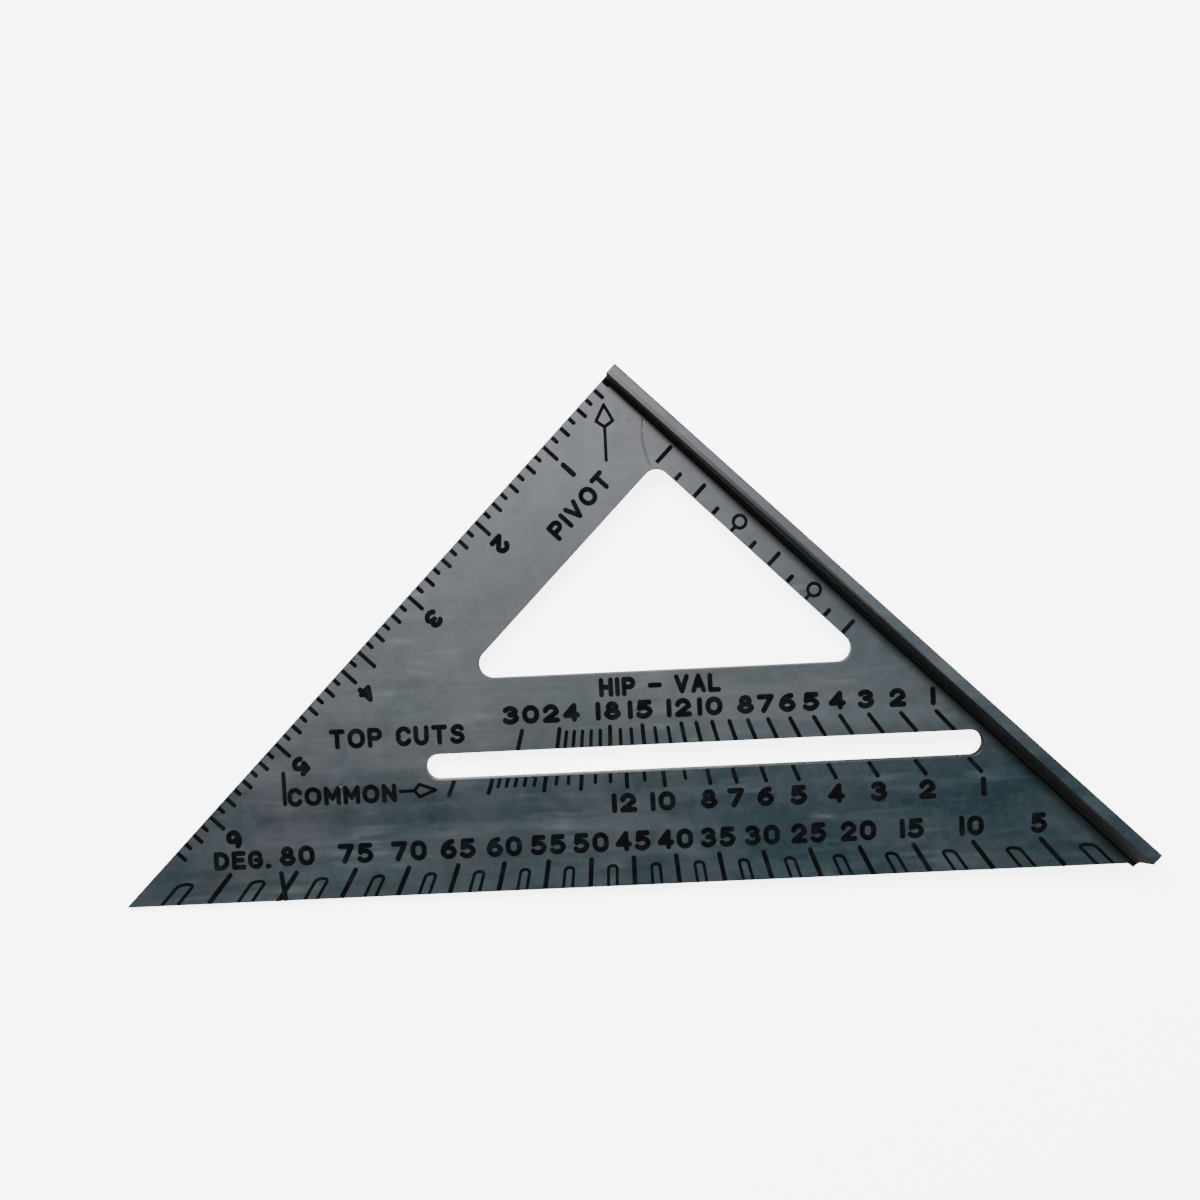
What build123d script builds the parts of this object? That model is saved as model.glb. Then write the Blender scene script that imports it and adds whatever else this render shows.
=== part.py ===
"""Rafter square: a right-angled triangular marking and saw-guide tool, one black plastic moulding
with a T-section fence along one leg and raised scales on its face.

Frame: the origin is the pivot, the zero of every scale, where the leg edge meets the middle of the
fence, at the underside of the blade. +X runs along the hypotenuse towards the fence's far end, +Y
points away from the hypotenuse, and +Z rises out of the marked face. All sizes are millimetres.
"""

from build123d import *
import os
from math import atan2, degrees, radians, sqrt, tan

INCH = 25.4

# The blade, and the openings in it
LEG = 184.7  # along each leg, from the pivot to the sharp tip
BLADE_THICKNESS = 3.0
LEG_WEB = 23.9  # from the leg edge to the hand hole
FENCE_WEB = 9.5  # from the fence's middle to the hand hole
SCALE_WEB = 18.7  # from the hand hole to the scribing slot, where the hip-valley scale stands
HYP_WEB = 29.4  # from the scribing slot to the hypotenuse
HAND_HOLE_RADIUS = 3.6
SLOT_WIDTH = 6.6
SLOT_TO_LEG = 46.2  # from the slot's end to the leg edge, along the slot
SLOT_TO_FENCE = 8.2  # from the slot's other end to the fence's middle, along the slot

# The fence, a flange that stands out of both faces of the blade
FENCE_LENGTH = LEG - 2.0  # the sharp corner is cut off by this much
FENCE_THICKNESS = 3.4
FENCE_RISE = 8.0  # above the marked face
FENCE_DROP = 8.0  # below the underside
FENCE_EDGE_RADIUS = 0.5
FENCE_ROOT = 1.9  # the stub that carries the blade
FENCE_ROOT_RADIUS, FENCE_SEAT_RADIUS = 1.8, 0.8  # its fillets, on the marked face and underneath

# The raised marks
MARK_HEIGHT = 0.3
FINE_PEN, SHORT_PEN, TICK_PEN, LINE_PEN, LETTER_PEN, NUMERAL_PEN = 0.75, 0.85, 1.0, 1.15, 1.15, 1.25
TIP_WIDTH = 19.0  # the blade's width where the inch scale stops

INCH_TICKS = {"eighth": 2.4, "quarter": 3.4, "inch": 5.3}
CHECK_TICK, CHECK_TICK_LENGTH = 30, 6.1  # the one longer tick, counted in eighths
INCH_NUMERAL_INSET, INCH_NUMERAL_HEIGHT = 8.7, 4.7

FENCE_TICKS = {"quarter": 2.6, "half": 4.6, "inch": 6.0}
FENCE_SCALE_SETBACK = 1.5  # its zero lies this far outside the leg edge
RING_RADIUS, RING_STEM = 1.6, 1.4  # the marks at the second and third inch
RING_INCHES = (2, 3)

DEGREE_STEP, LAST_DEGREE = 5, 85
DEGREE_LINE, DEGREE_ARCH = 7.8, 5.8  # how far each reaches in from the hypotenuse
ARCH_LEGS = (2, 3)  # degrees past each line
CROSS_DEGREE, CROSS_HEAD, CROSS_FOOT = 80, 3.9, 2.9  # how wide the cross is at each end
DEGREE_NUMERAL_INSET, DEGREE_NUMERAL_HEIGHT = 11.6, 5.1
LAST_DEGREE_NUMERAL = 80
DEGREE_LABEL = {"inset": 11.1, "x": 30.6, "width": 14.6, "height": 4.7}  # x is from the sharp tip

# Roof pitches: a rise in inches on the run of a common rafter, or of a hip or valley rafter
COMMON_RUN, HIP_RUN = 12, 12 * sqrt(2)
# Where the rays of each scale meet: the distance from the leg edge, and from the fence's middle
COMMON_MEET, COMMON_NUMERAL_MEET = (-1.2, 0), (-2.0, 0.5)
HIP_MEET, HIP_NUMERAL_MEET = (-1.7, 0.9), (-2.7, 0.3)
LONG_RISES = (30, 24, 18, 15, 12, 11, 10, 9, 8, 7, 6, 5, 4, 3, 2, 1)
HIP_SHORT_RISES = (23, 22, 21, 20, 19, 17, 16, 14, 13)
COMMON_SHORT_RISES = HIP_SHORT_RISES + (11, 9)
HIP_TICKS, HIP_SHORT_TICKS = 5.6, 4.7
COMMON_TICKS, COMMON_SHORT_TICKS = 4.4, 2.8
HIP_NUMERALS = (30, 24, 18, 15, 12, 10, 8, 7, 6, 5, 4, 3, 2, 1)
COMMON_NUMERALS = (12, 10, 8, 7, 6, 5, 4, 3, 2, 1)
HIP_NUMERAL_HEIGHT, COMMON_NUMERAL_HEIGHT = 4.7, 4.9
HIP_NUMERAL_STRETCH, COMMON_NUMERAL_STRETCH = 1.17, 1.1  # how much wider than the degree numerals
HIP_NUMERAL_SHIFTS = {24: 0.8}  # to the right, to clear the numeral before it
HIP_NUMERAL_RISE, COMMON_NUMERAL_DROP = 9.2, 7.9  # from the slot's edge to the numerals' middle

# Labels, with their middles measured from the feature that each one names
HIP_LABEL = {"x": 8.6, "drop": 3.5, "width": 30.8, "height": 4.8}
COMMON_LABEL = {"x": -21.8, "drop": 6.0, "width": 27.8, "height": 4.8}
TOP_LABEL = {"x": -7.0, "rise": 8.4, "width": 34.5, "height": 5.0}
COMMON_ARROW = {"x": -7.0, "drop": 5.7, "stem": 3.7, "head": 5.4, "half": 1.6, "waist": 1.3}
COMMON_BAR = {"x": -36.5, "top": 0.2, "length": 7.8}
PIVOT_LABEL = {"along": 30.2, "inset": 16.8, "width": 20.2, "height": 4.8}
PIVOT_ARROW = {"x": -2.2, "drop": 22.2, "stem": 8.3, "head": 5.5, "half": 2.1, "waist": 1.5}

# Places that follow from the sizes above
DEPTH = LEG / sqrt(2)  # from the pivot to the hypotenuse
SLOT_LOW = -DEPTH + HYP_WEB
SLOT_HIGH = SLOT_LOW + SLOT_WIDTH
SLOT_MIDDLE = SLOT_LOW + SLOT_WIDTH / 2
HAND_HOLE_LOW = SLOT_HIGH + SCALE_WEB
SLOT_LEFT = SLOT_MIDDLE + SLOT_TO_LEG
SLOT_RIGHT = -SLOT_MIDDLE - SLOT_TO_FENCE


def from_edges(along_fence, along_leg):
    """The point that lies so far from the leg edge and so far from the fence's middle."""
    return ((along_fence - along_leg) / sqrt(2), -(along_fence + along_leg) / sqrt(2))


def on_ray(angle, depth, meet=(0, 0)):
    """Where the ray at this angle to the fence is this deep, if the rays meet at this place."""
    x, y = from_edges(*meet)
    return (x + (depth + y) * tan(radians(45 - angle)), -depth)


def pitch_angle(rise, run):
    return degrees(atan2(rise, run))


# --- Strokes and lettering: every mark is drawn with a round pen of one width -------------------


def line(*points):
    return list(zip(points, points[1:]))


def arc(start, middle, end):
    return [(start, middle, end)]


def ring(left, low, right, high):
    x, y = (left + right) / 2, (low + high) / 2
    return arc((left, y), (x, high), (right, y)) + arc((right, y), (x, low), (left, y))


# Each letter is one unit high, along the middle of its strokes, and is given with its width.
LETTERS = {
    "0": (0.75, arc((0, 0.6), (0.375, 1), (0.75, 0.6)) + line((0.75, 0.6), (0.75, 0.4))
          + arc((0.75, 0.4), (0.375, 0), (0, 0.4)) + line((0, 0.4), (0, 0.6))),
    "1": (0, line((0, 0), (0, 1))),
    "2": (0.75, arc((0.02, 0.72), (0.4, 1), (0.72, 0.6)) + line((0.72, 0.6), (0, 0), (0.75, 0))),
    "3": (0.72, arc((0.04, 0.87), (0.36, 1), (0.66, 0.8)) + arc((0.66, 0.8), (0.58, 0.62), (0.3, 0.54))
          + arc((0.3, 0.54), (0.62, 0.45), (0.72, 0.27)) + arc((0.72, 0.27), (0.38, 0), (0, 0.13))),
    "4": (0.75, line((0.55, 0), (0.55, 1), (0, 0.3), (0.75, 0.3))),
    "5": (0.75, line((0.68, 1), (0.12, 1), (0.06, 0.55))
          + arc((0.06, 0.55), (0.42, 0.63), (0.74, 0.34)) + arc((0.74, 0.34), (0.4, 0), (0, 0.12))),
    "6": (0.75, arc((0.62, 1), (0.13, 0.72), (0, 0.31)) + ring(0, 0, 0.75, 0.62)),
    "7": (0.75, line((0, 1), (0.75, 1), (0.25, 0))),
    "8": (0.75, ring(0.13, 0.53, 0.62, 1) + ring(0, 0, 0.75, 0.53)),
    "A": (0.8, line((0, 0), (0.4, 1), (0.8, 0)) + line((0.14, 0.35), (0.66, 0.35))),
    "C": (0.72, arc((0.72, 0.8), (0.42, 1), (0, 0.5)) + arc((0, 0.5), (0.42, 0), (0.72, 0.2))),
    "D": (0.8, line((0.3, 0), (0, 0), (0, 1), (0.3, 1)) + arc((0.3, 1), (0.8, 0.5), (0.3, 0))),
    "E": (0.7, line((0.7, 1), (0, 1), (0, 0), (0.7, 0)) + line((0, 0.52), (0.6, 0.52))),
    "G": (0.75, arc((0.72, 0.8), (0.42, 1), (0, 0.5)) + arc((0, 0.5), (0.38, 0), (0.75, 0.25))
          + line((0.75, 0.25), (0.75, 0.48), (0.42, 0.48))),
    "H": (0.75, line((0, 0), (0, 1)) + line((0.75, 0), (0.75, 1)) + line((0, 0.5), (0.75, 0.5))),
    "I": (0, line((0, 0), (0, 1))),
    "L": (0.65, line((0, 1), (0, 0), (0.65, 0))),
    "M": (0.9, line((0, 0), (0, 1), (0.45, 0.3), (0.9, 1), (0.9, 0))),
    "N": (0.75, line((0, 0), (0, 1), (0.75, 0), (0.75, 1))),
    "O": (0.9, ring(0, 0, 0.9, 1)),
    "P": (0.72, line((0, 0), (0, 1), (0.45, 1)) + arc((0.45, 1), (0.72, 0.73), (0.45, 0.46))
          + line((0.45, 0.46), (0, 0.46))),
    "S": (0.72, arc((0.68, 0.86), (0.38, 1), (0.06, 0.78)) + arc((0.06, 0.78), (0.16, 0.6), (0.38, 0.52))
          + arc((0.38, 0.52), (0.63, 0.42), (0.72, 0.25)) + arc((0.72, 0.25), (0.38, 0), (0, 0.14))),
    "T": (0.8, line((0, 1), (0.8, 1)) + line((0.4, 1), (0.4, 0))),
    "U": (0.75, line((0, 1), (0, 0.37)) + arc((0, 0.37), (0.375, 0), (0.75, 0.37))
          + line((0.75, 0.37), (0.75, 1))),
    "V": (0.8, line((0, 1), (0.4, 0), (0.8, 1))),
    "-": (0.75, line((0, 0.5), (0.75, 0.5))),
    ".": (0.08, line((0, 0), (0.08, 0))),
    " ": (0.3, []),
}
LETTER_GAP = 0.52


def draw(strokes, pen):
    """One face for a list of strokes: two points are a straight stroke, three are an arc."""
    faces = []
    for points in strokes:
        if len(points) == 3:
            faces.append(SlotArc(ThreePointArc(*points), pen))
            continue
        (x0, y0), (x1, y1) = points
        run = Vector(x1 - x0, y1 - y0)
        slot = SlotCenterToCenter(run.length, pen, rotation=degrees(atan2(run.Y, run.X)))
        faces.append(Pos((x0 + x1) / 2, (y0 + y1) / 2) * slot)
    return Sketch() + faces


def write(text, middle, height, pen, width=None, stretch=1, turn=0):
    """A word centred on a point, stretched to the stated width where it has one."""
    tall = height - pen
    natural = sum(LETTERS[c][0] for c in text) + LETTER_GAP * (len(text) - 1)
    wide = (width - pen) / natural if width else tall * stretch
    strokes, x = [], -natural * wide / 2
    for character in text:
        across, shape = LETTERS[character]
        strokes += [tuple((x + px * wide, (py - 0.5) * tall) for px, py in s) for s in shape]
        x += (across + LETTER_GAP) * wide
    return Pos(*middle) * Rot(0, 0, turn) * draw(strokes, pen)


def arrow(tail, stem, head, half, waist, pen, turn=0):
    """A stem with a hollow kite for a head, starting at the tail and pointing along +X."""
    kite = line((stem, 0), (stem + waist, half), (stem + head, 0), (stem + waist, -half), (stem, 0))
    return Pos(*tail) * Rot(0, 0, turn) * draw(line((0, 0), (stem, 0)) + kite, pen)


# --- The blade and the fence --------------------------------------------------------------------


def outline():
    """The whole triangle's face with its hand hole and its scribing slot cut out."""
    triangle = make_face(Polyline((0, 0), from_edges(0, LEG), from_edges(LEG, 0), close=True))
    low_reach = -HAND_HOLE_LOW * sqrt(2)
    hand_hole = make_face(Polyline(
        from_edges(LEG_WEB, FENCE_WEB),
        from_edges(LEG_WEB, low_reach - LEG_WEB),
        from_edges(low_reach - FENCE_WEB, FENCE_WEB),
        close=True,
    ))
    hand_hole = fillet(hand_hole.vertices(), HAND_HOLE_RADIUS)
    slot = SlotOverall(SLOT_RIGHT - SLOT_LEFT, SLOT_WIDTH)
    return triangle - hand_hole - Pos((SLOT_LEFT + SLOT_RIGHT) / 2, SLOT_MIDDLE) * slot


def marked_face():
    """What the fence leaves of the triangle, cut off flush with the fence's far end."""
    root = FENCE_THICKNESS / 2 + FENCE_ROOT
    corners = [(0, root), (0, LEG), (FENCE_LENGTH, LEG), (FENCE_LENGTH, root)]
    return outline() & make_face(Polyline(*(from_edges(*c) for c in corners), close=True))


def blade():
    return extrude(marked_face(), BLADE_THICKNESS)


def fence():
    """The flange and the stub that carries the blade, drawn across and drawn out along the leg."""
    half, top = FENCE_THICKNESS / 2, BLADE_THICKNESS + FENCE_RISE
    flange = Pos(0, (top - FENCE_DROP) / 2) * Rectangle(FENCE_THICKNESS, top + FENCE_DROP)
    stub = Pos(-half - FENCE_ROOT / 2, BLADE_THICKNESS / 2) * Rectangle(FENCE_ROOT, BLADE_THICKNESS)
    section = flange + stub
    rims = [v for v in section.vertices() if v.Y < -FENCE_DROP / 2 or v.Y > top - FENCE_RISE / 2]
    section = fillet(rims, FENCE_EDGE_RADIUS)
    for face, radius in ((BLADE_THICKNESS, FENCE_ROOT_RADIUS), (0, FENCE_SEAT_RADIUS)):
        throat = [v for v in section.vertices() if abs(v.X + half) < 0.01 and abs(v.Y - face) < 0.01]
        section = fillet(throat, radius)
    across = Plane(origin=(0, 0, 0), x_dir=(1, 1, 0), z_dir=(1, -1, 0))
    return extrude(across * section, FENCE_LENGTH)


# --- The scales ---------------------------------------------------------------------------------


def inch_ticks():
    """Eighths of an inch down the leg edge, from the first to the last that the tip has room for."""
    strokes = []
    for eighth in range(1, int((LEG - TIP_WIDTH) / INCH * 8) + 1):
        length = INCH_TICKS["inch" if eighth % 8 == 0 else "quarter" if eighth % 2 == 0 else "eighth"]
        if eighth == CHECK_TICK:
            length = CHECK_TICK_LENGTH
        along = eighth * INCH / 8
        strokes += line(from_edges(-TICK_PEN, along), from_edges(length - TICK_PEN / 2, along))
    return draw(strokes, TICK_PEN)


def inch_numerals():
    inches = range(1, int((LEG - TIP_WIDTH) / INCH) + 1)
    return [
        write(str(n), from_edges(INCH_NUMERAL_INSET, n * INCH), INCH_NUMERAL_HEIGHT, NUMERAL_PEN, turn=225)
        for n in inches
    ]


def fence_scale_quarters():
    """Quarter inches along the fence, as far as the straight edge of the hand hole goes."""
    corner = HAND_HOLE_RADIUS / tan(radians(22.5))
    last = -HAND_HOLE_LOW * sqrt(2) - FENCE_WEB - corner + FENCE_SCALE_SETBACK
    return [q for q in range(4, int(last / INCH * 4) + 1) if q % 4 or q // 4 not in RING_INCHES]


def fence_ticks():
    strokes = []
    for quarter in fence_scale_quarters():
        length = FENCE_TICKS["inch" if quarter % 4 == 0 else "half" if quarter % 2 == 0 else "quarter"]
        along = quarter * INCH / 4 - FENCE_SCALE_SETBACK
        top = FENCE_WEB - length + TICK_PEN / 2
        strokes += line(from_edges(along, FENCE_WEB + TICK_PEN), from_edges(along, top))
    return draw(strokes, TICK_PEN)


def ring_marks():
    strokes = []
    for inch in RING_INCHES:
        foot = FENCE_WEB - FINE_PEN / 2
        low, high = foot - RING_STEM, foot - RING_STEM - 2 * RING_RADIUS
        middle = inch * INCH - FENCE_SCALE_SETBACK
        left, right = middle - RING_RADIUS, middle + RING_RADIUS
        half_way = (low + high) / 2
        strokes += line(from_edges(middle, foot), from_edges(middle, low))
        for side in (low, high):
            strokes += arc(*(from_edges(*p) for p in ((left, half_way), (middle, side), (right, half_way))))
    return draw(strokes, FINE_PEN)


def degree_lines():
    strokes = []
    for angle in range(DEGREE_STEP, LAST_DEGREE + 1, DEGREE_STEP):
        if angle != CROSS_DEGREE:
            strokes += line(on_ray(angle, DEPTH + LINE_PEN), on_ray(angle, DEPTH - DEGREE_LINE + LINE_PEN / 2))
    return draw(strokes, LINE_PEN)


def degree_cross():
    """The line at the cross degree and a second stroke that leans the other way across it."""
    x0, y0 = on_ray(CROSS_DEGREE, DEPTH + LINE_PEN)
    x1, y1 = on_ray(CROSS_DEGREE, DEPTH - DEGREE_LINE + LINE_PEN / 2)
    return draw(line((x0, y0), (x1, y1)) + line((x1 - CROSS_HEAD, y1), (x0 + CROSS_FOOT, y0)), LINE_PEN)


def degree_arches():
    strokes = []
    for angle in range(0, LAST_DEGREE + 1, DEGREE_STEP):
        left, right = (angle + leg for leg in ARCH_LEGS)
        shoulder = DEPTH - DEGREE_ARCH + 1.5 * FINE_PEN
        crown = on_ray((left + right) / 2, DEPTH - DEGREE_ARCH + FINE_PEN / 2)
        strokes += line(on_ray(left, DEPTH + FINE_PEN), on_ray(left, shoulder))
        strokes += line(on_ray(right, DEPTH + FINE_PEN), on_ray(right, shoulder))
        strokes += arc(on_ray(left, shoulder), crown, on_ray(right, shoulder))
    return draw(strokes, FINE_PEN)


def degree_numerals():
    """Each numeral stands over the head of its own line."""
    words = []
    for angle in range(DEGREE_STEP, LAST_DEGREE_NUMERAL + 1, DEGREE_STEP):
        x, _ = on_ray(angle, DEPTH - DEGREE_LINE)
        middle = (x, -DEPTH + DEGREE_NUMERAL_INSET)
        words.append(write(str(angle), middle, DEGREE_NUMERAL_HEIGHT, NUMERAL_PEN))
    return words


def pitch_ticks(rises, run, meet, edge, reach, pen):
    """Ticks from one edge of the slot, upwards or with a negative reach downwards."""
    strokes = []
    outward = 1 if reach > 0 else -1
    for rise in rises:
        angle = pitch_angle(rise, run)
        near, far = -edge + outward * pen, -edge - reach + outward * pen / 2
        strokes += line(on_ray(angle, near, meet), on_ray(angle, far, meet))
    return draw(strokes, pen)


def hip_ticks():
    place = (HIP_RUN, HIP_MEET, SLOT_HIGH)
    long_rises = [rise for rise in LONG_RISES if rise not in HIP_SHORT_RISES]
    return [
        pitch_ticks(long_rises, *place, HIP_TICKS, TICK_PEN),
        pitch_ticks(HIP_SHORT_RISES, *place, HIP_SHORT_TICKS, SHORT_PEN),
    ]


def common_ticks():
    place = (COMMON_RUN, COMMON_MEET, SLOT_LOW)
    long_rises = [rise for rise in LONG_RISES if rise not in COMMON_SHORT_RISES]
    return [
        pitch_ticks(long_rises, *place, -COMMON_TICKS, TICK_PEN),
        pitch_ticks(COMMON_SHORT_RISES, *place, -COMMON_SHORT_TICKS, SHORT_PEN),
    ]


def pitch_numerals(rises, run, meet, y, height, stretch, towards_slot, shifts={}):
    """Numerals whose ends towards the slot stand on their own rays."""
    words = []
    for rise in rises:
        end = y + towards_slot * height / 2
        x, _ = on_ray(pitch_angle(rise, run), -end, meet)
        x += shifts.get(rise, 0)
        words.append(write(str(rise), (x, y), height, NUMERAL_PEN, stretch=stretch))
    return words


def label(text, spec, x, y):
    return write(text, (x, y), spec["height"], LETTER_PEN, width=spec["width"])


def marks():
    """Every group of raised marks, by the name of its node."""
    bar_x, bar_y = SLOT_LEFT + COMMON_BAR["x"], SLOT_MIDDLE + COMMON_BAR["top"]
    common, top, pivot = COMMON_ARROW, TOP_LABEL, PIVOT_ARROW
    return {
        "leg_inch_ticks": inch_ticks(),
        "leg_inch_numerals": inch_numerals(),
        "fence_inch_ticks": fence_ticks(),
        "fence_ring_marks": ring_marks(),
        "degree_lines": degree_lines(),
        "degree_arches": degree_arches(),
        "degree_cross": degree_cross(),
        "degree_numerals": degree_numerals(),
        "degree_label": label(
            "DEG.", DEGREE_LABEL, -DEPTH + DEGREE_LABEL["x"], -DEPTH + DEGREE_LABEL["inset"]),
        "hip_valley_ticks": hip_ticks(),
        "hip_valley_numerals": pitch_numerals(
            HIP_NUMERALS, HIP_RUN, HIP_NUMERAL_MEET,
            SLOT_HIGH + HIP_NUMERAL_RISE, HIP_NUMERAL_HEIGHT, HIP_NUMERAL_STRETCH, -1,
            HIP_NUMERAL_SHIFTS),
        "hip_valley_label": label(
            "HIP - VAL", HIP_LABEL, HIP_LABEL["x"], HAND_HOLE_LOW - HIP_LABEL["drop"]),
        "common_ticks": common_ticks(),
        "common_numerals": pitch_numerals(
            COMMON_NUMERALS, COMMON_RUN, COMMON_NUMERAL_MEET,
            SLOT_LOW - COMMON_NUMERAL_DROP, COMMON_NUMERAL_HEIGHT, COMMON_NUMERAL_STRETCH, 1),
        "common_label": label(
            "COMMON", COMMON_LABEL, SLOT_LEFT + COMMON_LABEL["x"], SLOT_MIDDLE - COMMON_LABEL["drop"]),
        "common_arrow": arrow(
            (SLOT_LEFT + common["x"], SLOT_MIDDLE - common["drop"]),
            common["stem"], common["head"], common["half"], common["waist"], FINE_PEN),
        "common_bar": draw(line((bar_x, bar_y), (bar_x, bar_y - COMMON_BAR["length"])), TICK_PEN),
        "top_cuts_label": label("TOP CUTS", top, SLOT_LEFT + top["x"], SLOT_MIDDLE + top["rise"]),
        "pivot_label": write(
            "PIVOT", from_edges(PIVOT_LABEL["inset"], PIVOT_LABEL["along"]),
            PIVOT_LABEL["height"], LETTER_PEN, width=PIVOT_LABEL["width"], turn=45),
        "pivot_arrow": arrow(
            (pivot["x"], -pivot["drop"]),
            pivot["stem"], pivot["head"], pivot["half"], pivot["waist"], FINE_PEN, turn=90),
    }


def raise_marks(drawn, face):
    """Trims drawn marks to the marked face and raises them off it."""
    flat = (Sketch() + drawn) & face
    return Pos(0, 0, BLADE_THICKNESS) * extrude(flat, MARK_HEIGHT)


os.makedirs("parts", exist_ok=True)
export_step(blade(), "parts/blade.step")
export_step(fence(), "parts/fence.step")
face = marked_face()
for node, drawn in marks().items():
    raised = raise_marks(drawn, face)
    print(node, len(raised.solids()), "solids", round(raised.volume, 2), "mm3")
    export_step(raised, f"parts/{node}.step")
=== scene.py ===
from math import atan2, degrees, pi, radians, sqrt, tan

import bmesh
import bpy
from mathutils import Matrix, Vector


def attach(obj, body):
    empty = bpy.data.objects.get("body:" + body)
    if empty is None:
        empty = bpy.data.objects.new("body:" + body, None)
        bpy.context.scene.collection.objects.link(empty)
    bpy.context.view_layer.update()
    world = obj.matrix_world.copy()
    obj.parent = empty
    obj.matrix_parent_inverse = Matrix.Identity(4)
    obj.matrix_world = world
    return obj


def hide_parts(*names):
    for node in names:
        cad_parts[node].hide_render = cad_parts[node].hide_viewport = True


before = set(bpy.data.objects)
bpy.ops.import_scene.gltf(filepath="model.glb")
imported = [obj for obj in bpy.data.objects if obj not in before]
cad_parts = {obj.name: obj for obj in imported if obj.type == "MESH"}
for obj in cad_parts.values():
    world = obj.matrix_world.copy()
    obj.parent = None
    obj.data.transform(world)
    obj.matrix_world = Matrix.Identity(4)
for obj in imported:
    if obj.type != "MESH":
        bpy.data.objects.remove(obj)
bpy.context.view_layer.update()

# --- Blade ---------------------------------------------------------------------------------------
# The triangular plate, with its hand hole and its scribing slot. One shot of black ABS with the
# fence and all the scales, gated at the far corner, so the melt meets itself beside the pivot.

MM = 0.001  # every size below is in millimetres
BLADE_RIM = 0.28  # the rounding left on every cut edge by a well used mould
LEG = 184.7
BLADE_TOP = 3.0
FENCE_ROOT_FACE = 3.6  # where the fence's stub takes over from the blade, from the fence's middle
KNIT_LINE = {"x": 7.15, "y": -16.5, "bend": 0.028}  # its nearest point to the leg, and its bow


def from_edges(along_fence, along_leg):
    """The point, in millimetres, so far from the leg edge and so far from the fence's middle."""
    return Vector(((along_fence - along_leg) / sqrt(2), -(along_fence + along_leg) / sqrt(2), 0))


def to_edges(point):
    """How far a point in millimetres lies from the leg edge, and from the fence's middle."""
    return (point.x - point.y) / sqrt(2), -(point.x + point.y) / sqrt(2)


def linear(code):
    """An sRGB hex colour as linear red, green, blue and alpha."""
    parts = [int(code[i:i + 2], 16) / 255 for i in (1, 3, 5)]
    return [p / 12.92 if p <= 0.04045 else ((p + 0.055) / 1.055) ** 2.4 for p in parts] + [1]


def add(tree, kind, inputs=(), **settings):
    """One node with its settings, and each input given a value or linked from a socket."""
    node = tree.nodes.new(kind)
    for name, setting in settings.items():
        setattr(node, name, setting)
    for key, value in dict(inputs).items():
        if isinstance(value, bpy.types.NodeSocket):
            tree.links.new(value, node.inputs[key])
        else:
            node.inputs[key].default_value = value
    return node


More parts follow.
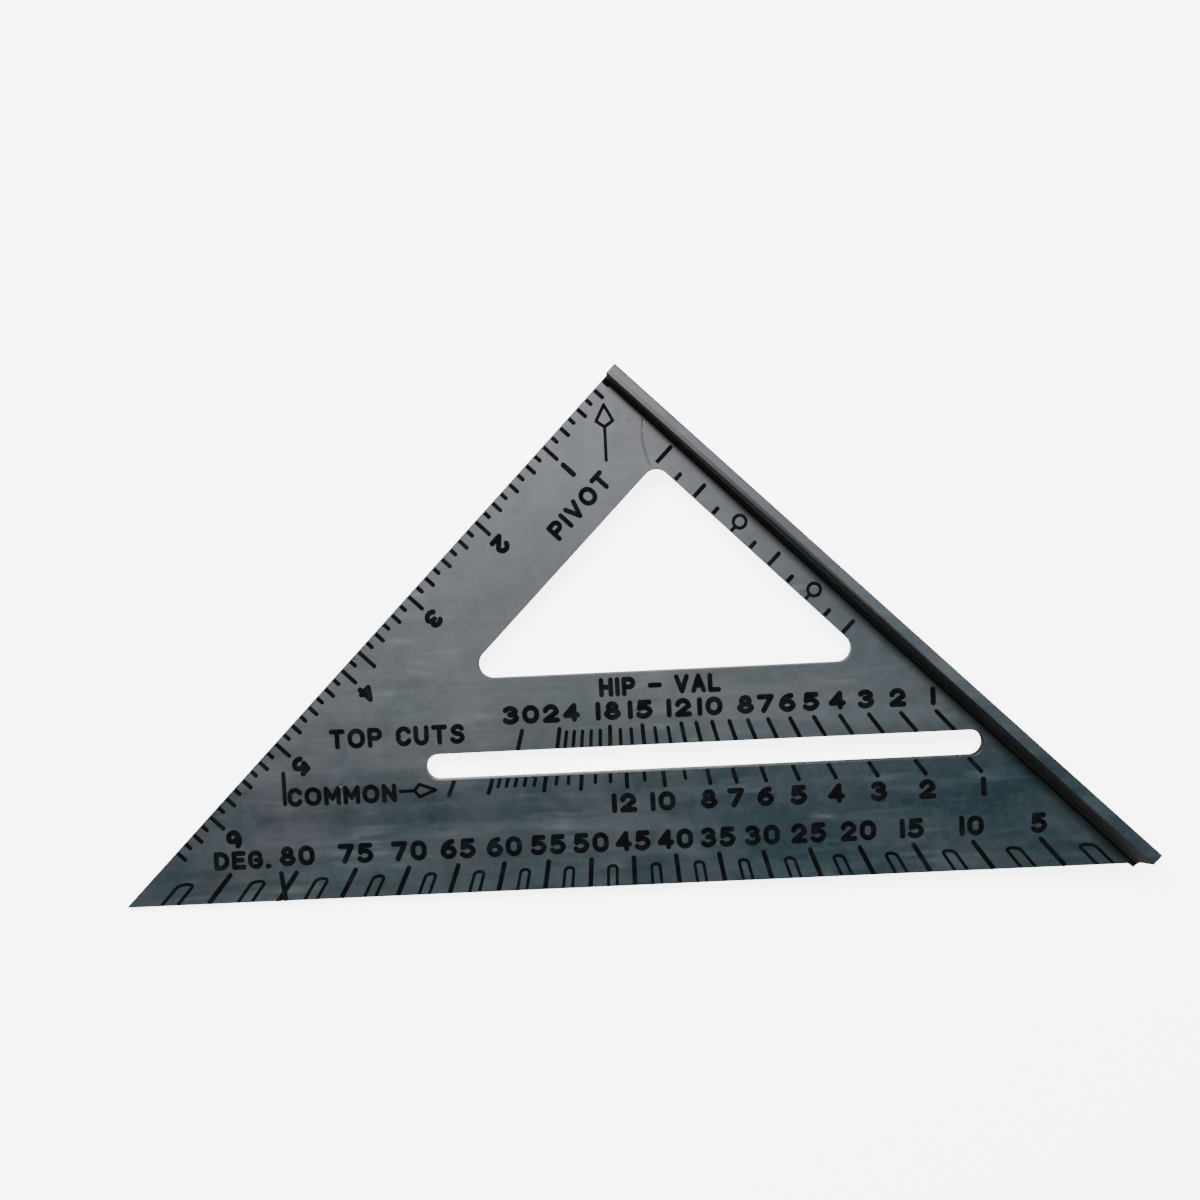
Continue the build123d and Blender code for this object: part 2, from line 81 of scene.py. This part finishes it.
def moulded_abs(name, deep, pale, scuffed, knit_line):
    """Satin black ABS off a matt steel mould, in green-black blotches, with painted light: greyer
    towards the pivot, where the light is brightest, and darker towards the hypotenuse."""
    finish = bpy.data.materials.new(name)
    finish.use_nodes = True
    tree = finish.node_tree
    tree.nodes.clear()
    place = add(tree, "ShaderNodeTexCoord").outputs["Object"]

    def noise(size, detail=3, rough=0.5, warp=0.0, at=place):
        """Cloudy variation whose patches are about this many millimetres across."""
        return add(tree, "ShaderNodeTexNoise", {
            "Vector": at, "Scale": 1000 / size, "Detail": detail, "Roughness": rough,
            "Distortion": warp}).outputs["Fac"]

    def stretch(value, low, high, to_low=0.0, to_high=1.0):
        """The range from low to high drawn out, with a soft start and end."""
        return add(tree, "ShaderNodeMapRange", {
            "Value": value, "From Min": low, "From Max": high, "To Min": to_low,
            "To Max": to_high}, interpolation_type="SMOOTHSTEP").outputs["Result"]

    def maths(what, a, b):
        return add(tree, "ShaderNodeMath", {0: a, 1: b}, operation=what).outputs[0]

    def mixed(share, a, b):
        return add(tree, "ShaderNodeMix", {
            "Factor": share, "A": a, "B": b}, data_type="RGBA").outputs["Result"]

    # Flow clouds 34 mm across, patches of 9 mm and mottling of 2 mm, as the melt cooled unevenly
    clouds = stretch(noise(34, 3, 0.55, 0.4), 0.36, 0.64)
    patches = stretch(noise(9, 4, 0.6, 0.8), 0.42, 0.66)
    mottle = noise(2.2, 2, 0.6)
    axes = add(tree, "ShaderNodeSeparateXYZ", {"Vector": place}).outputs
    depth = axes["Y"]
    # Painted light: greyer towards the pivot and the leg and darkest at the fence's far end, as the
    # light falls off
    light_falloff_axis = maths("SUBTRACT", depth, maths("MULTIPLY", axes["X"], 0.45))
    painted_light_falloff = stretch(light_falloff_axis, -0.150, -0.055)
    share = maths("ADD", maths("MULTIPLY", clouds, 0.5), maths("MULTIPLY", painted_light_falloff, 0.5))
    colour = mixed(share, linear(deep), linear(pale))
    colour = mixed(maths("MULTIPLY", patches, 0.45), colour, linear("#0d2023"))
    colour = mixed(stretch(mottle, 0.35, 0.75, 0.0, 0.3), colour, linear("#333b3e"))

    # Flow lines: soft streaks 40 mm long and 3 mm wide that run with the slot and fade upwards
    flow_axis = add(tree, "ShaderNodeMapping", {
        "Vector": place, "Rotation": (0, 0, radians(2)), "Scale": (0.12, 1, 1)})
    flow = maths("SUBTRACT", noise(4.5, 2, 0.4, 0.6, flow_axis.outputs[0]), 0.5)
    flow = maths("MULTIPLY", flow, stretch(depth, -0.078, -0.066, 1.0, 0.25))
    colour = mixed(stretch(flow, 0.02, 0.16, 0.0, 0.35), colour, linear("#0b1a1d"))
    colour = mixed(stretch(flow, -0.16, -0.04, 0.15, 0.0), colour, linear("#4a5257"))

    # Scuffs: pale soft rubs 15 mm long and 2 mm wide, all nearly one way, from sliding on boards
    slant = add(tree, "ShaderNodeMapping", {
        "Vector": place, "Rotation": (0, 0, radians(-14)), "Scale": (0.14, 1, 1)})
    rubs = stretch(noise(2.6, 3, 0.5, 0.0, slant.outputs[0]), 0.48, 0.80)
    rubs = maths("MULTIPLY", rubs, stretch(noise(21, 2), 0.46, 0.66))
    colour = mixed(maths("MULTIPLY", rubs, scuffed), colour, linear("#6d7478"))

    # Pits: pin holes of a quarter of a millimetre, one in a few square centimetres
    pits = add(tree, "ShaderNodeTexVoronoi", {"Vector": place, "Scale": 1000 / 11})
    pit = maths("MULTIPLY", stretch(pits.outputs["Distance"], 0.018, 0.045, 1.0, 0.0),
                maths("GREATER_THAN", pits.outputs["Color"], 0.55))
    colour = mixed(maths("MULTIPLY", pit, 0.8), colour, linear("#0a0f10"))

    grain = noise(0.45, 2, 0.6)
    height = maths("ADD", maths("MULTIPLY", grain, 0.012), maths("MULTIPLY", noise(26, 1), 0.05))
    height = maths("SUBTRACT", height, maths("MULTIPLY", pit, 0.08))
    if knit_line:
        # The knit line: a hair-thin dark bow between the fence and the corner of the hand hole
        x, y = (maths("MULTIPLY", axes[k], 1000) for k in ("X", "Y"))
        bow = maths("POWER", maths("SUBTRACT", y, KNIT_LINE["y"]), 2.0)
        bow = maths("MULTIPLY", bow, KNIT_LINE["bend"])
        off = maths("SUBTRACT", maths("SUBTRACT", x, KNIT_LINE["x"]), bow)
        off = maths("ABSOLUTE", off, 0)
        along = maths("MULTIPLY", stretch(y, -26.0, -23.0), stretch(y, -12.0, -10.5, 1.0, 0.0))
        seam = maths("MULTIPLY", stretch(off, 0.10, 0.42, 1.0, 0.0), along)
        seam = maths("MULTIPLY", seam, stretch(noise(3.5, 2), 0.3, 0.5, 0.4, 1.0))
        colour = mixed(maths("MULTIPLY", seam, 0.75), colour, linear("#0c1315"))
        height = maths("SUBTRACT", height, maths("MULTIPLY", seam, 0.06))

    sheen = maths("ADD", stretch(noise(17, 4, 0.6, 0.5), 0.3, 0.7, 0.43, 0.52),
                  maths("MULTIPLY", rubs, 0.08))
    sheen = maths("ADD", sheen, maths("MULTIPLY", flow, 0.08))
    # Below the slot, hands hardly touch it, and the skin keeps more of the mould's polish
    sheen = maths("SUBTRACT", sheen, stretch(depth, -0.106, -0.092, 0.12, 0.0))
    sheen = maths("ADD", sheen, stretch(depth, -0.066, -0.032, 0.0, 0.04))
    # The band just under the slot is the smoothest, and one under the hand hole the most rubbed
    for low, high, change in ((-0.110, -0.102, -0.05), (-0.082, -0.079, 0.06)):
        band = maths("MULTIPLY", stretch(depth, low - 0.006, low),
                     stretch(depth, high, high + 0.006, 1.0, 0.0))
        sheen = maths("ADD", sheen, maths("MULTIPLY", band, change))
    sheen = maths("ADD", sheen, maths("MULTIPLY", pit, 0.2))

    # Painted shade: the fence's inner wall, the corner under the fence and the blade beside it
    # blackened, thinning out over the blade
    facing = add(tree, "ShaderNodeNewGeometry").outputs["Normal"]
    inward = add(tree, "ShaderNodeVectorMath", {
        0: facing, 1: (-sqrt(0.5), -sqrt(0.5), 0)}, operation="DOT_PRODUCT").outputs["Value"]
    from_fence = add(tree, "ShaderNodeVectorMath", {
        0: place, 1: (-sqrt(0.5) / MM, -sqrt(0.5) / MM, 0)},
        operation="DOT_PRODUCT").outputs["Value"]
    painted_corner_shade = maths("MAXIMUM", stretch(inward, 0.02, 0.35), stretch(from_fence, 3.0, 5.6, 0.7, 0.0))
    painted_corner_shade = maths("MULTIPLY", painted_corner_shade, stretch(from_fence, 0.0, 0.4))
    painted_corner_shade = maths("MULTIPLY", painted_corner_shade, stretch(from_fence, 5.5, 8.5, 1.0, 0.0))
    colour = mixed(painted_corner_shade, colour, linear("#000101"))
    # Inside the painted shade the finish is glossy where it lies flat and matt on the wall, which
    # keeps it dark
    corner_shade_sheen = stretch(inward, 0.5, 0.9, 0.24, 0.95)
    sheen = maths("ADD", sheen, maths("MULTIPLY", painted_corner_shade, maths("SUBTRACT", corner_shade_sheen, sheen)))
    bump = add(tree, "ShaderNodeBump", {
        "Height": height, "Distance": MM, "Strength": 1.0})
    shader = add(tree, "ShaderNodeBsdfPrincipled", {
        "Base Color": colour, "Roughness": sheen, "Normal": bump.outputs[0], "IOR": 1.53})
    add(tree, "ShaderNodeOutputMaterial", {"Surface": shader.outputs[0]})
    return finish


def joined_copy(node, name, rim, steps=3, keep_sharp=None):
    """A node's triangles joined into one skin, with its sharp edges rounded."""
    work = bmesh.new()
    work.from_mesh(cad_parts[node].data)
    bmesh.ops.remove_doubles(work, verts=work.verts, dist=0.0005 * MM)
    bmesh.ops.dissolve_limit(
        work, angle_limit=radians(0.3), verts=work.verts, edges=work.edges)
    weight = work.edges.layers.float.new("bevel_weight_edge")
    for edge in work.edges:
        sharp = len(edge.link_faces) == 2 and edge.calc_face_angle() > radians(32)
        if sharp and not (keep_sharp and all(keep_sharp(v.co / MM) for v in edge.verts)):
            edge[weight] = 1
    mesh = bpy.data.meshes.new(name)
    work.to_mesh(mesh)
    work.free()
    piece = bpy.data.objects.new(name, mesh)
    bpy.context.scene.collection.objects.link(piece)
    rounding = piece.modifiers.new("rim", "BEVEL")
    rounding.limit_method = "WEIGHT"
    rounding.width = rim * MM
    rounding.segments = steps
    return settled(piece)


def worked_in(piece):
    """The piece's new mesh, with its modifiers worked into it and removed."""
    bpy.context.view_layer.update()
    seen = piece.evaluated_get(bpy.context.evaluated_depsgraph_get())
    mesh = bpy.data.meshes.new_from_object(seen)
    mesh.name = piece.name
    piece.modifiers.clear()
    piece.data = mesh
    return mesh


def settled(piece):
    """The piece smooth except at its sharp edges, with flat faces that outweigh their roundings, so
    that the shading doesn't bend across the blade."""
    mesh = worked_in(piece)
    mesh.shade_smooth()
    mesh.set_sharp_from_angle(angle=radians(36))
    piece.modifiers.new("flats", "WEIGHTED_NORMAL").keep_sharp = True
    worked_in(piece)
    return piece


def finish_piece(piece, finish, slot, *nodes):
    piece.data.materials.clear()
    piece.data.materials.append(finish)
    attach(piece, "root")
    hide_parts(*nodes)
    return piece


def at_fence_root(point):
    return abs(to_edges(point)[1] - FENCE_ROOT_FACE) < 0.01


blade = joined_copy("blade", "blade_plate", BLADE_RIM, keep_sharp=at_fence_root)
blade_abs = moulded_abs(
    "satin moulded ABS, blade", "#10252a", "#323338", scuffed=0.2, knit_line=True)
finish_piece(blade, blade_abs, "black_moulding", "blade")

# --- Fence ---------------------------------------------------------------------------------------
# The flange that hooks over a board, moulded with the blade. Its far end has nothing to hold it
# upright while the moulding cools, so its upper half has warped a little outwards there.

FENCE_LENGTH = LEG - 2.0
FENCE_RIM = 0.3
WARP_NEAR, WARP_FAR = -0.25, 1.45  # how far the top edge leans out at the pivot, and at the far end
UPRIGHT_BELOW, FENCE_TOP = 4.2, 11.0  # the lean grows between these heights

fence = joined_copy("fence", "fence_flange", FENCE_RIM, keep_sharp=at_fence_root)
for vertex in fence.data.vertices:
    point = vertex.co / MM
    along = to_edges(point)[0] / FENCE_LENGTH
    lean = WARP_NEAR + (WARP_FAR - WARP_NEAR) * along
    rise = max(0, (point.z - UPRIGHT_BELOW) / (FENCE_TOP - UPRIGHT_BELOW))
    vertex.co += Vector((1, 1, 0)).normalized() * lean * rise * MM
fence_abs = moulded_abs(
    "satin moulded ABS, fence", "#13282e", "#2e3137", scuffed=0.15, knit_line=False)
finish_piece(fence, fence_abs, "black_moulding", "fence")

# --- Inch scale on the leg edge ------------------------------------------------------------------
# Ticks at every eighth of an inch, raised from grooves cut into the mould with a round cutter, so
# that they have round ends and soft shoulders, with plain numerals beside the full inches.

INCH = 25.4
MARK_HEIGHT = 0.3
SHOULDER = 0.16  # the rounding along the top of each stroke
TICK_PEN, FINE_PEN, LINE_PEN = 1.0, 0.75, 1.15
INCH_TICKS = {"eighth": 2.4, "quarter": 3.4, "inch": 5.3}
LAST_EIGHTH = 52
CHECK_TICK, CHECK_TICK_LENGTH = 30, 6.1


def worn_marks():
    """The same ABS in the relief: blacker, because hands and pencil lead fill its matt top."""
    finish = bpy.data.materials.new("graphite-darkened ABS relief")
    finish.use_nodes = True
    tree = finish.node_tree
    tree.nodes.clear()
    place = add(tree, "ShaderNodeTexCoord").outputs["Object"]
    # Wear comes in patches 4 mm long, and the skin has a grain of a third of a millimetre
    wear = add(tree, "ShaderNodeTexNoise", {
        "Vector": place, "Scale": 1000 / 4, "Detail": 3, "Roughness": 0.6})
    grain = add(tree, "ShaderNodeTexNoise", {
        "Vector": place, "Scale": 1000 / 0.35, "Detail": 2, "Roughness": 0.6})
    share = add(tree, "ShaderNodeMapRange", {
        "Value": wear.outputs["Fac"], "From Min": 0.45, "From Max": 0.75, "To Max": 0.6})
    colour = add(tree, "ShaderNodeMix", {
        "Factor": share.outputs[0], "A": linear("#020304"), "B": linear("#14191b")},
        data_type="RGBA")
    rough = add(tree, "ShaderNodeMapRange", {
        "Value": grain.outputs["Fac"], "From Min": 0.3, "From Max": 0.7, "To Min": 0.78,
        "To Max": 0.92})
    bump = add(tree, "ShaderNodeBump", {
        "Height": grain.outputs["Fac"], "Distance": 0.02 * MM})
    shader = add(tree, "ShaderNodeBsdfPrincipled", {
        "Base Color": colour.outputs["Result"], "Roughness": rough.outputs[0],
        "Normal": bump.outputs[0], "IOR": 1.53, "Specular IOR Level": 0.06})
    add(tree, "ShaderNodeOutputMaterial", {"Surface": shader.outputs[0]})
    return finish


mark_abs = worn_marks()


def stroke_tree():
    """Sweeps a low round-shouldered ridge along centre lines, each as wide as it says."""
    tree = bpy.data.node_groups.new("cutter_strokes", "GeometryNodeTree")
    for name, kind, way in (
        ("Centre lines", "Geometry", "INPUT"), ("Ridge height", "Float", "INPUT"),
        ("Shoulder", "Float", "INPUT"), ("Round far end", "Float", "INPUT"),
        ("Finish", "Material", "INPUT"), ("Ridges", "Geometry", "OUTPUT"),
    ):
        tree.interface.new_socket(name, in_out=way, socket_type="NodeSocket" + kind)
    given = add(tree, "NodeGroupInput").outputs

    def maths(what, a, b=0.0):
        return add(tree, "ShaderNodeMath", {0: a, 1: b}, operation=what).outputs[0]

    width = add(tree, "GeometryNodeInputNamedAttribute", {"Name": "width"}).outputs["Attribute"]
    lines = add(tree, "GeometryNodeMeshToCurve", {"Mesh": given["Centre lines"]})
    lines = add(tree, "GeometryNodeResampleCurve", {
        "Curve": lines.outputs[0], "Length": 0.12 * MM}, mode="LENGTH")
    # At the far end the ridge runs out in a half circle, as the cutter's own shape does
    done = add(tree, "GeometryNodeSplineParameter").outputs["Length"]
    whole = add(tree, "GeometryNodeSplineLength").outputs["Length"]
    left = maths("DIVIDE", maths("SUBTRACT", whole, done), maths("MULTIPLY", width, 0.5))
    short = maths("SUBTRACT", 1.0, maths("MINIMUM", left, 1.0))
    round_off = maths("SUBTRACT", 1.0, maths("MULTIPLY", short, short))
    round_off = maths("SQRT", maths("MAXIMUM", round_off, 0.0004))
    taper = maths("ADD", maths("MULTIPLY", round_off, given["Round far end"]),
                  maths("SUBTRACT", 1.0, given["Round far end"]))
    scale = maths("MULTIPLY", width, taper)
    lines = add(tree, "GeometryNodeSetCurveRadius", {"Curve": lines.outputs[0], "Radius": scale})
    # The section is one unit wide and is scaled by each stroke's width, half of it in the blade
    section = add(tree, "GeometryNodeCurvePrimitiveQuadrilateral", {
        "Width": 1.0, "Height": maths("MULTIPLY", given["Ridge height"], 2.0)})
    section = add(tree, "GeometryNodeFilletCurve", {
        "Curve": section.outputs[0], "Radius": given["Shoulder"], "Count": 3}, mode="POLY")
    sweep = {"Curve": lines.outputs[0], "Profile Curve": section.outputs[0], "Fill Caps": True}
    ridges = tree.nodes.new("GeometryNodeCurveToMesh")
    if "Scale" in ridges.inputs:
        sweep["Scale"] = add(tree, "GeometryNodeInputRadius").outputs[0]
    for key, value in sweep.items():
        if isinstance(value, bpy.types.NodeSocket):
            tree.links.new(value, ridges.inputs[key])
        else:
            ridges.inputs[key].default_value = value
    merged = add(tree, "GeometryNodeMergeByDistance", {
        "Geometry": ridges.outputs[0], "Distance": 0.002 * MM})
    real = add(tree, "GeometryNodeRealizeInstances", {"Geometry": merged.outputs[0]})
    coated = add(tree, "GeometryNodeSetMaterial", {
        "Geometry": real.outputs[0], "Material": given["Finish"]})
    add(tree, "NodeGroupOutput", {"Ridges": coated.outputs[0]})
    return tree


strokes = stroke_tree()


def raise_strokes(name, node, paths, round_end=1.0):
    """Ridges on the blade's face along paths of points in millimetres, each with its width."""
    points, edges, widths = [], [], []
    for width, path in paths:
        first = len(points)
        points += [(x * MM, y * MM, BLADE_TOP * MM) for x, y, *_ in path]
        edges += [(i, i + 1) for i in range(first, len(points) - 1)]
        widths += [width * MM] * len(path)
    mesh = bpy.data.meshes.new(name)
    mesh.from_pydata(points, edges, [])
    mesh.attributes.new("width", "FLOAT", "POINT").data.foreach_set("value", widths)
    piece = bpy.data.objects.new(name, mesh)
    bpy.context.scene.collection.objects.link(piece)
    maker = piece.modifiers.new("cutter", "NODES")
    maker.node_group = strokes
    given = {
        "Ridge height": MARK_HEIGHT / TICK_PEN, "Shoulder": SHOULDER / TICK_PEN,
        "Round far end": round_end, "Finish": mark_abs,
    }
    for item in strokes.interface.items_tree:
        if item.name in given:
            maker[item.identifier] = given[item.name]
    return finish_piece(settled(piece), mark_abs, "raised_marks", node)


def raise_letters(name, node):
    """Numerals, words and signs, with the tops of their strokes rounded like the ticks'."""
    return finish_piece(joined_copy(node, name, 0.11, 2), mark_abs, "raised_marks", node)


ticks = []
for eighth in range(1, LAST_EIGHTH + 1):
    kind = "inch" if eighth % 8 == 0 else "quarter" if eighth % 2 == 0 else "eighth"
    length = CHECK_TICK_LENGTH if eighth == CHECK_TICK else INCH_TICKS[kind]
    along = eighth * INCH / 8
    ticks.append((TICK_PEN, (from_edges(BLADE_RIM, along), from_edges(length, along))))
raise_strokes("leg_scale_ticks", "leg_inch_ticks", ticks)
raise_letters("leg_scale_numerals", "leg_inch_numerals")

# --- Inch scale beside the fence -----------------------------------------------------------------
# Quarter inches that stand on the hand hole's edge, with a ring on a stem at two of the inches.

FENCE_WEB = 9.5
FENCE_TICKS = {"quarter": 2.6, "half": 4.6, "inch": 6.0}
FENCE_SCALE_SETBACK = 1.5
RING_QUARTERS = (8, 12)
LAST_QUARTER = 14

ticks = []
for quarter in range(4, LAST_QUARTER + 1):
    kind = "inch" if quarter % 4 == 0 else "half" if quarter % 2 == 0 else "quarter"
    along = quarter * INCH / 4 - FENCE_SCALE_SETBACK
    if quarter not in RING_QUARTERS:
        foot, head = FENCE_WEB - BLADE_RIM, FENCE_WEB - FENCE_TICKS[kind]
        ticks.append((TICK_PEN, (from_edges(along, foot), from_edges(along, head))))
raise_strokes("fence_scale_ticks", "fence_inch_ticks", ticks)
raise_letters("fence_scale_rings", "fence_ring_marks")

# --- Degree scale --------------------------------------------------------------------------------
# A line at every five degrees about the pivot and a narrow arch just past each of them, cut in
# from the hypotenuse, with a crossed line at eighty degrees.

DEPTH = LEG / sqrt(2)
DEGREE_LINE, DEGREE_ARCH = 7.8, 5.8
ARCH_LEGS = (2, 3)
CROSS_DEGREE = 80
ARCH_STEPS = 10


def on_ray(angle, depth, meet=(0, 0)):
    """Where the ray at this angle to the fence is this deep, if the rays meet at this place."""
    start = from_edges(*meet)
    return Vector((start.x + (depth + start.y) * tan(radians(45 - angle)), -depth, 0))


def arch(left, right, low, shoulder, crown):
    """Up one leg, over a half ellipse and down the other leg, as one path."""
    a, b = on_ray(left, shoulder), on_ray(right, shoulder)
    top = on_ray((left + right) / 2, crown)
    over = []
    for step in range(ARCH_STEPS + 1):
        turn = Matrix.Rotation(pi * step / ARCH_STEPS, 2) @ Vector((1, 0))
        over.append((a + b) / 2 + (a - b) / 2 * turn.x + (top - (a + b) / 2) * turn.y)
    return [on_ray(left, low)] + over + [on_ray(right, low)]


lines = [
    (LINE_PEN, (on_ray(angle, DEPTH - BLADE_RIM), on_ray(angle, DEPTH - DEGREE_LINE)))
    for angle in range(5, 90, 5) if angle != CROSS_DEGREE
]
raise_strokes("degree_scale_lines", "degree_lines", lines)
arches = [
    (FINE_PEN, arch(
        angle + ARCH_LEGS[0], angle + ARCH_LEGS[1], DEPTH - BLADE_RIM,
        DEPTH - DEGREE_ARCH + 1.5 * FINE_PEN, DEPTH - DEGREE_ARCH + FINE_PEN / 2))
    for angle in range(0, 90, 5)
]
raise_strokes("degree_scale_arches", "degree_arches", arches, round_end=0.0)
raise_letters("degree_scale_cross", "degree_cross")
raise_letters("degree_scale_numerals", "degree_numerals")
raise_letters("degree_scale_word", "degree_label")

# --- Roof-pitch scales on the slot ---------------------------------------------------------------
# Ticks for each rise in inches: hip and valley rafters above the slot, on a run of twelve times
# the root of two, and common rafters below it, on a run of twelve. Short ones are rises in between.

SLOT_LOW = -DEPTH + 29.4
SLOT_HIGH = SLOT_LOW + 6.6
SHORT_RISES = (23, 22, 21, 20, 19, 17, 16, 14, 13)
RISES = (30, 24, 18, 15, 12, 11, 10, 9, 8, 7, 6, 5, 4, 3, 2, 1)
SHORT_PEN = 0.85
COMMON_RUN, HIP_RUN = 12, 12 * sqrt(2)
COMMON_MEET, HIP_MEET = (-1.2, 0), (-1.7, 0.9)
COMMON_TICKS, HIP_TICKS = (4.4, 2.8), (5.6, 4.7)  # the long ones and the short ones


def pitch_ticks(run, meet, edge, side, reaches, short_rises):
    """Ticks that start at the slot's edge and lean along their own rays, up or down from it."""
    ticks = []
    for rise in sorted(set(RISES + short_rises)):
        angle = degrees(atan2(rise, run))
        short = rise in short_rises
        reach, pen = reaches[short], SHORT_PEN if short else TICK_PEN
        near, far = -edge - side * BLADE_RIM, -edge - side * reach
        ticks.append((pen, (on_ray(angle, near, meet), on_ray(angle, far, meet))))
    return ticks


hip = pitch_ticks(HIP_RUN, HIP_MEET, SLOT_HIGH, 1, HIP_TICKS, SHORT_RISES)
raise_strokes("hip_valley_scale_ticks", "hip_valley_ticks", hip)
raise_letters("hip_valley_scale_numerals", "hip_valley_numerals")
raise_letters("hip_valley_scale_word", "hip_valley_label")
common = pitch_ticks(
    COMMON_RUN, COMMON_MEET, SLOT_LOW, -1, COMMON_TICKS, SHORT_RISES + (11, 9))
raise_strokes("common_scale_ticks", "common_ticks", common)
raise_letters("common_scale_numerals", "common_numerals")
raise_letters("common_scale_word", "common_label")
raise_letters("common_scale_arrow", "common_arrow")
raise_letters("common_scale_bar", "common_bar")

# --- Notes ---------------------------------------------------------------------------------------
# Two notes that stand alone on the blade, and the arrow that points at the pivot.

raise_letters("top_cuts_note", "top_cuts_label")
raise_letters("pivot_note", "pivot_label")
raise_letters("pivot_note_arrow", "pivot_arrow")

# --- Floor, lights and camera --------------------------------------------------------------------
# The tool lies marked face up on a pale table, on the fence's lower edge and its far tip, so the
# table slopes a little under it. A big softbox stands behind the pivot, beside the camera.

FENCE_DROP = 8.0
TABLE = 1500.0
TABLE_GAP = 0.05  # keeps the table's face clear of the fence's lower edge
TABLE_GLARE = 5.5

table_mesh = bpy.data.meshes.new("table")
corners = []
for along, away in ((-1, -1), (1, -1), (1, 1), (-1, 1)):
    spot = from_edges(along * TABLE, away * TABLE)
    height = (away * TABLE / LEG - 1) * FENCE_DROP - TABLE_GAP
    corners.append((spot.x * MM, spot.y * MM, height * MM))
table_mesh.from_pydata(corners, [], [(0, 3, 2, 1)])
table = bpy.data.objects.new("table", table_mesh)
bpy.context.scene.collection.objects.link(table)
# White lacquered board, overexposed to the eye but lighting the tool only as a board does
board = bpy.data.materials.new("white lacquered board")
board.use_nodes = True
board_tree = board.node_tree
board_tree.nodes.clear()
seen_directly = add(board_tree, "ShaderNodeLightPath").outputs["Is Camera Ray"]
glare = add(board_tree, "ShaderNodeMath", {
    0: seen_directly, 1: TABLE_GLARE}, operation="MULTIPLY")
board_shader = add(board_tree, "ShaderNodeBsdfPrincipled", {
    "Base Color": linear("#ececec"), "Roughness": 0.6, "Emission Color": (1, 1, 1, 1),
    "Emission Strength": glare.outputs[0]})
add(board_tree, "ShaderNodeOutputMaterial", {"Surface": board_shader.outputs[0]})
table_mesh.materials.append(board)


def softbox(name, place, aim, size, power, colour):
    """A softbox at this place, turned to face the aim; its size is across and along."""
    light = bpy.data.lights.new(name, "AREA")
    light.shape = "RECTANGLE"
    light.size, light.size_y = size[0] * MM, size[1] * MM
    light.energy = power
    light.color = colour
    lamp = bpy.data.objects.new(name, light)
    lamp.location = Vector(place) * MM
    lamp.rotation_euler = (Vector(aim) - Vector(place)).to_track_quat("-Z", "Y").to_euler()
    lamp.visible_camera = False
    bpy.context.scene.collection.objects.link(lamp)


softbox("key_softbox", (-110, 275, 700), (-60, 0, 0), (400, 210), 16.0, (1.0, 0.99, 1.0))
softbox("side_softbox", (330, 260, 560), (20, -80, 0), (160, 160), 1.0, (0.95, 1.0, 1.0))

world = bpy.data.worlds.new("studio")
bpy.context.scene.world = world
world.use_nodes = True
world.node_tree.nodes["Background"].inputs["Color"].default_value = (0.93, 0.98, 1.0, 1)
world.node_tree.nodes["Background"].inputs["Strength"].default_value = 0.09

lens = bpy.data.cameras.new("camera")
lens.lens = 45
lens.sensor_width = 36
lens.clip_start = 0.01
camera = bpy.data.objects.new("camera", lens)
camera.location = Vector((0.46, -33.53, 380.6)) * MM
camera.rotation_euler = (radians(-3.636), radians(0.721), radians(-2.772))
bpy.context.scene.collection.objects.link(camera)
bpy.context.scene.camera = camera
